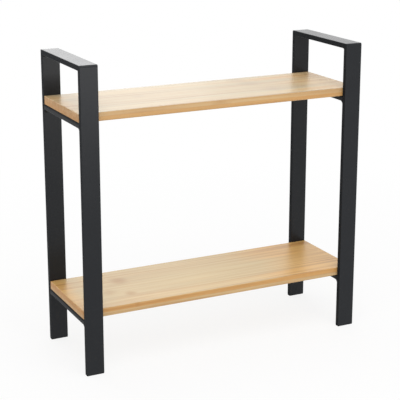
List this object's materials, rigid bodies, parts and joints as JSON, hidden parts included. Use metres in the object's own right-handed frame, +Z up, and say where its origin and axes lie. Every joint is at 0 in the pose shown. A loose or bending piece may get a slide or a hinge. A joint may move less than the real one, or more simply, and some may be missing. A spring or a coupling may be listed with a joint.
{
  "type": "desk hutch",
  "caption": "Open desk shelf: black welded flat bar side frames with carrying handles on top hold an upper and a lower bamboo board above the desk.",
  "frame": {"origin": "on the desk, in the middle of the footprint", "axes": "+Z up, +X to the right seen from the front, and the front faces -Y"},
  "size_m": [0.432, 0.152, 0.432],
  "materials": {
    "frame_coat": "satin black powder coat",
    "bamboo": "satin lacquered laminated bamboo",
    "zinc": "zinc plated",
    "foot_rubber": "matt"
  },
  "bodies": {
    "root": {"left_front_leg": "frame_coat", "left_rear_leg": "frame_coat", "left_handle": "frame_coat", "left_upper_rail": "frame_coat", "left_lower_rail": "frame_coat", "left_handle_welds": "frame_coat", "left_upper_rail_welds": "frame_coat", "left_lower_rail_welds": "frame_coat", "right_front_leg": "frame_coat", "right_rear_leg": "frame_coat", "right_handle": "frame_coat", "right_upper_rail": "frame_coat", "right_lower_rail": "frame_coat", "right_handle_welds": "frame_coat", "right_upper_rail_welds": "frame_coat", "right_lower_rail_welds": "frame_coat", "upper_board": "bamboo", "lower_board": "bamboo", "upper_left_screws": "zinc", "upper_right_screws": "zinc", "lower_left_screws": "zinc", "lower_right_screws": "zinc", "upper_left_inserts": "zinc", "upper_right_inserts": "zinc", "lower_left_inserts": "zinc", "lower_right_inserts": "zinc", "left_front_foot_pad": "foot_rubber", "left_rear_foot_pad": "foot_rubber", "right_front_foot_pad": "foot_rubber", "right_rear_foot_pad": "foot_rubber"}
  },
  "joints": []
}
